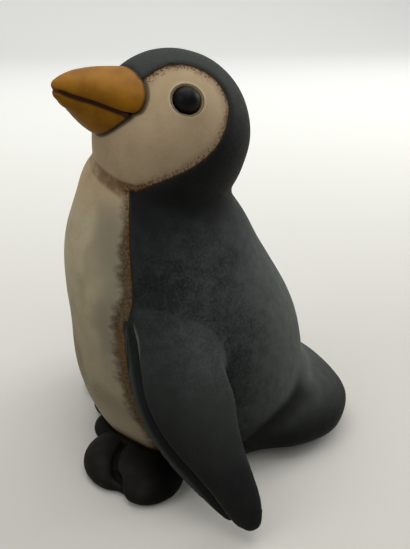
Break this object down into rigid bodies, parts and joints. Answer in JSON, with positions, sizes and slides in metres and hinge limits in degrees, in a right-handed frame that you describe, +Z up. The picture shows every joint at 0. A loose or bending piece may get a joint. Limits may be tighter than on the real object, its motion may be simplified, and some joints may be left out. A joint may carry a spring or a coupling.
{
  "type": "penguin figurine",
  "caption": "Sitting penguin ornament in glazed clay, head turned to its left and looking up, flippers held away from the body, on a flat base.",
  "frame": {"origin": "centre of the flat base of the torso, on the surface it stands on", "axes": "+Z up, -Y the way the breast faces, +X the penguin's own left side"},
  "size_m": [0.1114, 0.0855, 0.1137],
  "materials": {
    "cream_clay": "matt cream glaze with a brown wash in the creases",
    "slate_slip": "satin slate-grey slip, finely mottled",
    "ochre_glaze": "satin ochre glaze",
    "black_glaze": "glossy black glaze",
    "umber_slip": "satin brown-black slip"
  },
  "bodies": {
    "root": {"torso_shell": "cream_clay", "mantle": "slate_slip", "head_shell": "cream_clay", "hood": "slate_slip", "upper_beak": "ochre_glaze", "lower_beak": "ochre_glaze", "left_eye": "black_glaze", "right_eye": "black_glaze", "left_flipper": "slate_slip", "right_flipper": "slate_slip", "left_flipper_leaf": "slate_slip", "right_flipper_leaf": "slate_slip", "left_foot": "umber_slip", "right_foot": "umber_slip", "tail": "slate_slip"}
  },
  "joints": []
}
